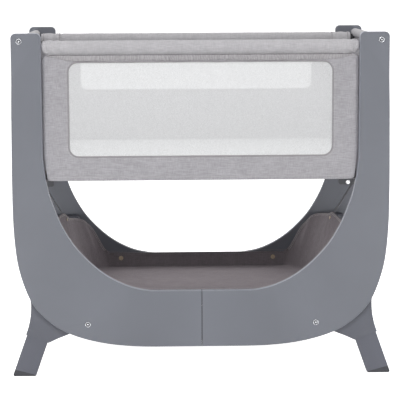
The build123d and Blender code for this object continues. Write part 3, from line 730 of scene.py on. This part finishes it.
win_rear = rounded_rect(-329, 329, 695, 802, 22, 120, 26, 10)
out_rear = rounded_rect(-446, 446, 506.5, 829.5, 6, 120, 26, 10)
ring_wall("rear_wall_cloth", win_rear, out_rear, 26,
          lambda x, z, t: (x, rear_depth(x, z), z), mat_body, "frame", thick=2.4,
          offset=0.0, slot="body_fabric", replaces=("rear_wall",))
for flip, tag in ((1, "outside"), (-1, "inside")):
    binding("rear_window_binding_" + tag, 329, 695, 802, 22, rear_depth, mat_bind, "frame", 26, 10,
            flip=-flip, slot="body_fabric", grow=1.2)
net("rear_window_net", 331.5, 692.5, 804.5, 251.0, mat_mesh, "frame", 140, 30, 6.0,
    ("rear_window_mesh",))


# ------------------------------------------------------------------ end walls
def end_wall(sx, nm):
    # plan path from the zip round the corner to the rear wall
    path = [(391.2, -257.3)]
    path += [(391.2 + k * 4.0, -257.3) for k in range(1, 13)]
    for k in range(0, 7):
        a = math.radians(-90 + 90 * k / 6)
        path.append((441.8 + 6.0 * math.cos(a), -251.3 + 6.0 * math.sin(a)))
    path += [(447.8, -251.3 + k * 501.0 / 84) for k in range(1, 85)]
    nv = 52
    verts = []
    for x, y in path:
        for j in range(nv):
            top = 837.0 + 6.0 * smoothstep(-256, -250, y)
            z = 506.2 + (top - 506.2) * j / (nv - 1)
            if x < 398:
                z = min(z, 812 + (z - 812) * 0.15) if z > 812 else z
            e = min(1.0, (z - 506) / 25, (837.5 - z) / 25)
            side = smoothstep(-250, -225, y) * smoothstep(250, 225, y)
            d = side * e * (1.6 * nz(0, y, z, 95, 3 + sx) + 0.7 * nz(0, y, z, 32, 9 + sx)) - 0.8 * side * e
            d2 = (1 - side) * e * 0.5 * nz(x, y, z, 24, 4)
            verts.append((sx * (x + d), y + d2, z))
    faces = grid_faces(len(path), nv)
    if sx < 0:
        faces = [f[::-1] for f in faces]
    ob = make("end_wall_cloth_" + nm, verts, faces, mat_body_side, "frame", thick=2.2,
              slot="body_fabric", replaces=("end_wall_" + nm,))
    stitches("end_hem_stitching_" + nm,
             [(sx * 449.1, y, 515) for y in range(-244, 245, 4)], mat_thread, "frame")
    tube_along("end_wall_piping_" + nm, [(sx * 448.6, y, 507.2) for y in range(-250, 251, 5)], 1.9,
               mat_bind, "frame", n=8, slot="body_fabric")


end_wall(1, "right")
end_wall(-1, "left")


# ------------------------------------------------- base cloth and the mattress
def base_f(u, v):
    x = -446.4 + 892.8 * u
    y = -261.0 + 510.4 * v
    e = min(1.0, (446.4 - abs(x)) / 40, (261 - abs(y)) / 40)
    e = max(0.0, e)
    return (x, y, 504.9 + 0.35 * e * nz(x, y, 0, 60, 2))


base = sheet_mesh("body_base_cloth_sheet", 110, 64, base_f, mat_body_side, "frame", thick=1.4,
                  slot="body_fabric", replaces=("body_base_cloth",))


def quilted_mattress():
    nu, nv = 220, 126
    z0 = 527.8
    h = 29.0

    def outline(u, v):
        # square to rounded rectangle
        x, y = -437.4 + 874.8 * u, -248.4 + 494.3 * v
        return x, y

    top, bot = [], []
    for i in range(nu):
        for j in range(nv):
            x, y = outline(i / (nu - 1), j / (nv - 1))
            # pull square corners in to a 30 mm radius
            cx, cy = max(0.0, abs(x) - 407.4), max(0.0, abs(y + 1.25) - 217.2)
            if cx > 0 and cy > 0:
                m = max(cx, cy)
                l = math.hypot(cx, cy)
                k = m / l
                x = math.copysign(407.4 + cx * k, x)
                y = math.copysign(217.2 + cy * k, y + 1.25) - 1.25
            ex = 437.4 - abs(x)
            ey = 247.15 - abs(y + 1.25)
            if cx > 0 and cy > 0:
                d = 30 - math.hypot(cx * k, cy * k)
            else:
                d = min(ex, ey)
            d = max(0.0, d)
            rnd = 1 - (1 - min(1.0, d / 12.0)) ** 2
            z = z0 + h / 2 + (h / 2) * math.sqrt(max(0.0, rnd))
            # diamond quilting and a soft crown
            q = abs(math.sin((x + y) * math.pi / 74)) * abs(math.sin((x - y) * math.pi / 74))
            z += (-1.9 + 1.9 * min(1.0, 2.2 * q) ** 0.6) * smoothstep(8, 30, d)
            z += 0.5 * nz(x, y, 0, 120, 3)
            top.append((x, y, min(z, 557.0)))
            bot.append((x, y, z0 + h / 2 - (h / 2 - 0.2) * math.sqrt(max(0.0, rnd))))
    verts = top + bot
    faces = grid_faces(nu, nv)
    m = nu * nv
    faces += [tuple(m + q for q in f[::-1]) for f in grid_faces(nu, nv)]
    # sides join top and bottom along the rim
    rim = [i * nv for i in range(nu)] + [(nu - 1) * nv + j for j in range(1, nv)]
    rim += [i * nv + nv - 1 for i in range(nu - 2, -1, -1)] + [j for j in range(nv - 2, 0, -1)]
    for a2, b2 in zip(rim, rim[1:] + rim[:1]):
        faces.append((a2, b2, m + b2, m + a2))
    ob = make("mattress_pad", verts, faces, mat_mattress, "frame", slot="mattress_cover",
              replaces=("mattress",))
    bm = bmesh.new()
    bm.from_mesh(ob.data)
    bmesh.ops.remove_doubles(bm, verts=bm.verts, dist=1e-6)
    bmesh.ops.recalc_face_normals(bm, faces=bm.faces)
    bm.to_mesh(ob.data)
    bm.free()
    # piping round the side
    p = rounded_rect(-437.8, 437.8, -248.8, 246.3, 30, 60, 30, 8)
    tube_along("mattress_piping", [(x, y, 542.3) for x, y in p], 1.6, mat_mattress, "frame", n=8, close=True,
               slot="mattress_cover")


quilted_mattress()


# --------------------------------------------------------------------- basket
# depth from the middle, half width at the floor and at height 400, rim height
ENDS = [(261.3, 245, 268, 226.0), (257, 255, 301, 244), (249, 264, 328, 298), (239, 272, 342.5, 319),
        (225, 281, 354.5, 337), (203, 291.5, 367, 345), (178, 300, 374.5, 349), (130, 308, 376.5, 356),
        (80, 311, 371.5, 363), (40, 312.8, 367.2, 371), (0, 313, 366.9, 380), (-40, 312.8, 367.2, 379),
        (-80, 311, 371.5, 374), (-130, 308, 376.5, 367), (-178, 300, 374.5, 357), (-203, 291.5, 367, 350),
        (-225, 281, 354.5, 346), (-239, 275, 351, 343.5), (-249, 272, 350, 341), (-257, 270, 349.5, 338),
        (-261.3, 268, 348, 333), (-261.3, 264, 335, 322), (-261.3, 258, 315, 296), (-261.3, 252, 292, 265),
        (-261.3, 245, 268, 226.0)]
Z0 = 182.6


def catmull(pts, n):
    P = [Vector(q) for q in pts]
    P = [2 * P[0] - P[1]] + P + [2 * P[-1] - P[-2]]
    out = []
    for i in range(1, len(P) - 2):
        p0, p1, p2, p3 = P[i - 1:i + 3]
        for k in range(n):
            t = k / n
            out.append(0.5 * ((2 * p1) + (-p0 + p2) * t + (2 * p0 - 5 * p1 + 4 * p2 - p3) * t * t
                              + (-p0 + 3 * p1 - 3 * p2 + p3) * t ** 3))
    out.append(P[-2])
    return out


def ends_loop():
    """Right end from rear to front: low x, high x, y, rim height."""
    flat3 = catmull([(b, c2, a2) for a2, b, c2, d in ENDS], 6)
    rims = catmull([(a2, d, 0) for a2, b, c2, d in ENDS], 6)
    out = []
    for q, r in zip(flat3, rims):
        out.append((q.x, q.y, max(-261.3, min(261.3, q.z)), r.y))
    return out


def basket():
    right_end = ends_loop()
    flap_n = 72
    loop = []
    for k in range(1, flap_n):
        loop.append((-245 + 490 * k / flap_n, None, 261.3, 226.0))
    loop += right_end
    for k in range(1, flap_n):
        loop.append((245 - 490 * k / flap_n, None, -261.3, 226.0))
    loop += [(-a2, -b, y, r) for a2, b, y, r in reversed(right_end)]
    verts = []
    floor_rings = 24

    def floor_z(x, y):
        sag = 1.5 * nz(x, y, 0, 80, 5) + 0.6 * nz(x, y, 0, 26, 8)
        sag += 0.7 * math.sin(x / 26.0 + 2.2 * nz(x, y, 0, 90, 2)) * nz(x, y, 0, 130, 12)
        e = min(1.0, (262 - abs(y)) / 25, max(0.0, (305 - abs(x)) / 25))
        return Z0 + 0.9 + max(-1.2, sag * e)

    for k in range(1, floor_rings + 1):
        f = (k / floor_rings) ** 0.8
        for xl, xh, y, top in loop:
            x2, y2 = xl * f * 0.985, y * f * 0.988
            verts.append((x2, y2, floor_z(x2, y2)))
    wall_rings = 26
    for k in range(1, wall_rings + 1):
        t = k / wall_rings
        for xl, xh, y, top in loop:
            if xh is not None and xl < 0:
                # the left end hangs lower behind its strap and higher in front
                top += 9.0 * smoothstep(20, -70, y) - 8.0 * smoothstep(0, 120, y) * smoothstep(246, 222, y)
            z = Z0 + 2 + (top - Z0 - 2) * t
            if xh is None:
                x = xl
                bulge = -2.0 * math.sin(math.pi * min(1, t)) * (1 - 0.3 * nz(x, 0, z, 40, 3))
                yy = math.copysign(abs(y) + bulge * 0.4, y)
                yy += 0.4 * nz(x, y, z, 26, 2)
                yy = max(-261.4, min(261.4, yy))
                verts.append((x, yy, z))
                continue
            f2 = (z - 181.0) / 219.0
            x = xl + (xh - xl) * f2
            sx = 1 if x > 0 else -1
            ax = abs(x)
            w = math.sin(math.pi * min(1.0, t)) ** 0.8
            lim = smoothstep(232, 205, abs(y))
            # sharp crease that drops from the rim beside the strap
            cr = math.exp(-abs(y - 52 + 22 * (1 - t)) / 5.5) * smoothstep(0.12, 0.85, t)
            ax -= 4.2 * cr * lim
            # soft folds fanning down from the peak
            for k2, (yf, amp, wd) in enumerate(((96, 1.7, 13), (140, 1.3, 17), (-60, 1.4, 16), (-112, 1.6, 20), (14, 1.1, 10))):
                yy0 = yf * (0.55 + 0.45 * t)
                ax -= amp * w * lim * math.exp(-((y - yy0) / wd) ** 2)
            ax += lim * w * (1.8 * nz(0, y, z, 44, 6 + sx) + 0.8 * nz(0, y, z, 18, 3 + sx))
            ax += 3.0 * lim * w * smoothstep(200, 120, abs(y))
            # pleat that laps over each end of the flap
            ax -= 6.5 * math.exp(-((y - 228) / 9.0) ** 2) * smoothstep(0.0, 0.25, t) * (1 - 0.35 * t)
            # in front of the peak the cloth turns out towards the panel
            ax += 9.0 * smoothstep(4, -110, y) * smoothstep(-230, -190, y) * t
            if abs(y) < 20:
                # behind the strap the wall stays on the strap's inner side
                ax = min(ax, xl * sx + (abs(xh) - abs(xl)) * f2 + 0.2)
            verts.append((sx * ax, max(-261.4, min(261.4, y)), z + (0.9 * nz(0, y, 3 * sx, 30, 2) if k == wall_rings else 0)))
    n = len(loop)
    faces = grid_faces(floor_rings + wall_rings, n, close_v=True)
    faces.append(tuple(range(n))[::-1])
    ob = make("basket_cloth", verts, faces, mat_basket, "frame", thick=2.2, offset=0.0,
              slot="basket_fabric", replaces=("storage_basket",))
    bm = bmesh.new()
    bm.from_mesh(ob.data)
    bmesh.ops.recalc_face_normals(bm, faces=bm.faces)
    bm.to_mesh(ob.data)
    bm.free()
    last = (floor_rings + wall_rings - 1) * n
    return ob, [Vector(v) for v in verts[last:last + n]], [Vector(v) for v in verts[last - 3 * n:last - 2 * n]], loop


basket_ob, rim_pts, below_pts, loop = basket()


def rim_frame(k, step=2):
    n = len(rim_pts)
    p, q = rim_pts[k], below_pts[k]
    d = (q - p).normalized()
    tang = (rim_pts[(k + step) % n] - rim_pts[k - step]).normalized()
    d = (d - tang * d.dot(tang)).normalized()
    return p, d, tang.cross(d).normalized()


def hem_band(name, mat, body, depth, side, slot=None):
    """Folded hem along the rim: a thin band over both faces of the edge."""
    verts = []
    prof = [(1.0, 1.15), (0.85, 1.6), (0.35, 1.7), (0.0, 1.5), (-0.12, 0.8), (-0.14, 0.0),
            (-0.12, -0.8), (0.0, -1.5), (0.35, -1.7), (0.85, -1.6), (1.0, -1.15)]
    n = len(rim_pts)
    for k in range(n):
        p, d, nrm = rim_frame(k)
        for a1, b1 in prof:
            verts.append(tuple(p + d * (a1 * depth) + nrm * (b1 * side)))
    faces = grid_faces(n, len(prof), close_u=True)
    return make(name, verts, faces, mat, body, slot=slot)


hem_band("basket_hem_band", mat_basket_hem, "frame", 6.0, 0.85, slot="basket_fabric")


def offset_rim(depth, side):
    out = []
    for k in range(len(rim_pts)):
        p, d, nrm = rim_frame(k)
        out.append(p + d * depth + nrm * side)
    return out


for dd in (1.8, 5.0):
    for sd in (1.62, -1.62):
        tag = "%d_%s" % (dd * 10, "in" if sd > 0 else "out")
        line = offset_rim(dd, sd)
        for nm, keep in (("right", lambda q: q.x > 262), ("left", lambda q: q.x < -262)):
            stitches("basket_stitching_%s_%s" % (nm, tag), [q for q in line if keep(q)], mat_thread_light,
                     "frame", pitch=3.6, length=2.7, r=0.5)
        for nm, keep in (("rear", lambda q: abs(q.x) < 260 and q.y > 0), ("front", lambda q: abs(q.x) < 260 and q.y < 0)):
            stitches("basket_stitching_%s_%s" % (nm, tag), [q for q in line if keep(q)], mat_bind,
                     "frame", pitch=3.6, length=2.7, r=0.45)

# straps from the basket's peaks to the base cross rails
for sx, nm in ((1, "right"), (-1, "left")):
    pts = [(354.9, 351), (358.2, 364), (361.6, 376.5), (366.0, 383.5), (372.5, 393), (385, 413.5),
           (400, 438.5), (414, 462), (423.5, 480.2)]
    P = catmull(pts, 6)
    verts = []
    prof = [(-11, 0.0), (-10.6, 0.75), (-5, 0.85), (0, 0.8), (5, 0.85), (10.6, 0.75), (11, 0.0),
            (10.6, -0.75), (5, -0.85), (0, -0.8), (-5, -0.85), (-10.6, -0.75)]
    for i, p in enumerate(P):
        d = (P[min(i + 1, len(P) - 1)] - P[max(i - 1, 0)]).normalized()
        nrm = Vector((d.y, -d.x))
        for yy, h in prof:
            q = p + nrm * (h + 2.4)
            verts.append((sx * q.x, yy + 0.4 * nz(p.x, 0, p.y, 30, 2), q.y))
    m = len(prof)
    faces = grid_faces(len(P), m, close_v=True)
    faces.append(tuple(range(m)))
    faces.append(tuple(range((len(P) - 1) * m, len(P) * m))[::-1])
    ob = make("basket_strap_" + nm, verts, faces, mat_web, "frame", slot="webbing",
              replaces=("basket_straps",))
    bm = bmesh.new()
    bm.from_mesh(ob.data)
    bmesh.ops.recalc_face_normals(bm, faces=bm.faces)
    bm.to_mesh(ob.data)
    bm.free()

# ----------------------------------------------------------------------- zips
for sx, nm in ((1, "right"), (-1, "left")):
    def tape(u, v):
        x = 381.8 + 8.4 * u
        z = 508 + 304 * v
        return (sx * x, -257.6 + 0.25 * nz(x, 0, z, 22, 3), z)
    ob = sheet_mesh("zip_tape_cloth_" + nm, 5, 90, tape, mat_zip, "frame", thick=1.0,
                    slot="zip_nylon", replaces=("zip_tapes",))
    verts, faces = [], []
    z = 510.0
    k = 0
    while z < 790:
        x0 = 385.3 if k % 2 else 384.2
        b = len(verts)
        for dx in (0, 2.6):
            for dy in (0, 1.2):
                for dz in (0, 1.15):
                    verts.append((sx * (x0 + dx), -258.1 - dy, z + dz))
        q = [(0, 1, 3, 2), (4, 6, 7, 5), (0, 4, 5, 1), (2, 3, 7, 6), (0, 2, 6, 4), (1, 5, 7, 3)]
        faces += [tuple(b + i for i in f) for f in q]
        z += 1.45
        k += 1
    make("zip_teeth_" + nm, verts, faces, mat_slider, "frame", smooth=False, slot="zip_nylon")

# ------------------------------------------------------- connector bolt heads
def bolt_heads():
    """Turned heads with a raised rim, a dished face and a socket boss."""
    prof = [(3.0, 0.0), (7.4, 0.0), (7.4, 1.6), (7.1, 2.5), (6.5, 3.0), (5.9, 2.95), (5.3, 2.5),
            (4.8, 1.7), (4.0, 1.45), (3.1, 1.45), (2.6, 1.6), (2.1, 2.2), (1.5, 2.55), (0.7, 2.7)]
    verts, faces = [], []
    n = 40
    for x, z in ((449.5, 854.5), (289.5, 139.3)):
        for sx in (-1, 1):
            for sy in (-1, 1):
                b0 = len(verts)
                for r, h in prof:
                    for k in range(n):
                        a2 = 2 * math.pi * k / n
                        rr = r
                        if 2.0 < r < 3.2:
                            rr = r * (1 + 0.06 * math.cos(6 * a2))
                        verts.append((sx * x + rr * math.cos(a2), sy * (280 + h), z + rr * math.sin(a2)))
                for i2 in range(len(prof) - 1):
                    for k in range(n):
                        f = (b0 + i2 * n + k, b0 + i2 * n + (k + 1) % n,
                             b0 + (i2 + 1) * n + (k + 1) % n, b0 + (i2 + 1) * n + k)
                        faces.append(f if sy < 0 else f[::-1])
                end = tuple(b0 + (len(prof) - 1) * n + k for k in range(n))
                faces.append(end if sy < 0 else end[::-1])
    ob = make("connector_bolt_heads", verts, faces, mat_bolt, "frame", slot="zinc_steel",
              replaces=("frame_bolts",))
    bm = bmesh.new()
    bm.from_mesh(ob.data)
    bmesh.ops.recalc_face_normals(bm, faces=bm.faces)
    bm.to_mesh(ob.data)
    bm.free()
    return ob


def bolt_material():
    """Bright zinc, dull and with painted shade in the dished face."""
    m = Mat("bolt_zinc", (0.7, 0.7, 0.72), 0.22, metal=1.0)
    sep = m.nt.nodes.new("ShaderNodeSeparateXYZ")
    m.link(m.co, sep.inputs[0])
    depth = m.math("ABSOLUTE", sep.outputs["Y"])
    # painted shade: the dished face, lower than the raised rim and the socket boss, is drawn near black; the raised
    # parts keep the zinc tone
    rim = m.range(depth, 0.0, 1.0, 0.28165, 0.28225)
    scratch = m.noise(m.scaled(1400, 1400, 1400), 1.0, 3, 0.6)
    dark = m.ramp(scratch, [(0.3, (0.05, 0.052, 0.06)), (0.7, (0.10, 0.102, 0.112))])
    light = m.ramp(scratch, [(0.3, (0.46, 0.47, 0.49)), (0.7, (0.56, 0.57, 0.59))])
    m.color(m.mix(rim, dark, light))
    m.rough(m.range(rim, 0.55, 0.2))
    m.bump(scratch, 0.1, 0.0002)
    return m.m


mat_bolt = bolt_material()
bolt_heads()

# ---------------------------------------------------------- studio and lights
floor_m = Mat("studio_floor", (0.8, 0.8, 0.8), 0.9, spec=0.1)
fn = floor_m.noise(floor_m.scaled(1, 1, 1), 3.0, 2)
floor_m.color(floor_m.ramp(fn, [(0.3, (0.795, 0.795, 0.795)), (0.7, (0.805, 0.805, 0.805))]))
floor_m.b.inputs["Emission Color"].default_value = (1, 1, 1, 1)
floor_m.b.inputs["Emission Strength"].default_value = 0.93
me = bpy.data.meshes.new("studio_floor")
fs = 150.0
me.from_pydata([(-fs, -fs, 0), (fs, -fs, 0), (fs, fs, 0), (-fs, fs, 0)], [], [(0, 1, 2, 3)])
me.materials.append(floor_m.m)
floor = bpy.data.objects.new("studio_floor", me)
bpy.context.scene.collection.objects.link(floor)
floor.visible_diffuse = False
back_m = Mat("studio_backdrop", (0.8, 0.8, 0.8), 0.9, spec=0.1)
bn = back_m.noise(back_m.scaled(1, 1, 1), 2.0, 2)
back_m.color(back_m.ramp(bn, [(0.3, (0.795, 0.795, 0.795)), (0.7, (0.805, 0.805, 0.805))]))
back_m.b.inputs["Emission Color"].default_value = (1, 1, 1, 1)
back_m.b.inputs["Emission Strength"].default_value = 1.0
me = bpy.data.meshes.new("studio_backdrop")
me.from_pydata([(-20, 7, 0), (20, 7, 0), (20, 7, 12), (-20, 7, 12)], [], [(0, 1, 2, 3)])
me.materials.append(back_m.m)
backdrop = bpy.data.objects.new("studio_backdrop", me)
bpy.context.scene.collection.objects.link(backdrop)

world = bpy.data.worlds.new("studio")
bpy.context.scene.world = world
world.use_nodes = True
wt = world.node_tree
bg = wt.nodes["Background"]
# dim studio walls, a brighter ceiling and some bounce from the floor
wc = wt.nodes.new("ShaderNodeTexCoord")
ws = wt.nodes.new("ShaderNodeSeparateXYZ")
wt.links.new(wc.outputs["Generated"], ws.inputs[0])
wr = wt.nodes.new("ShaderNodeValToRGB")
el = wr.color_ramp.elements
el.new(0.5)
for e, (pos, v) in zip(el, ((0.0, 0.44), (0.5, 0.24), (1.0, 0.50))):
    e.position = pos
    e.color = (v, v, v, 1)
wm = wt.nodes.new("ShaderNodeMapRange")
wm.inputs["From Min"].default_value = -1.0
wt.links.new(ws.outputs["Z"], wm.inputs["Value"])
wt.links.new(wm.outputs["Result"], wr.inputs["Fac"])
wt.links.new(wr.outputs["Color"], bg.inputs["Color"])
bg.inputs["Strength"].default_value = 1.0


def area(name, loc, target, size, power, col=(1, 1, 1)):
    d = bpy.data.lights.new(name, "AREA")
    d.shape = "RECTANGLE"
    d.size, d.size_y = size
    d.energy = power
    d.color = col
    o = bpy.data.objects.new(name, d)
    bpy.context.scene.collection.objects.link(o)
    o.location = loc
    o.visible_camera = False
    o.rotation_euler = (Vector(target) - Vector(loc)).to_track_quat("-Z", "Y").to_euler()
    return o


area("top_softbox", (0, 0.2, 3.4), (0, 0, 0.6), (3.0, 2.4), 25)
area("key_front", (-0.4, -3.3, 2.55), (0, 0, 0.4), (2.6, 1.3), 61)
area("fill_left", (-1.5, -2.1, 0.14), (-0.1, 0, 0.0), (1.4, 0.4), 17)
area("fill_right", (1.5, -2.1, 0.14), (0.1, 0, 0.0), (1.4, 0.4), 16)
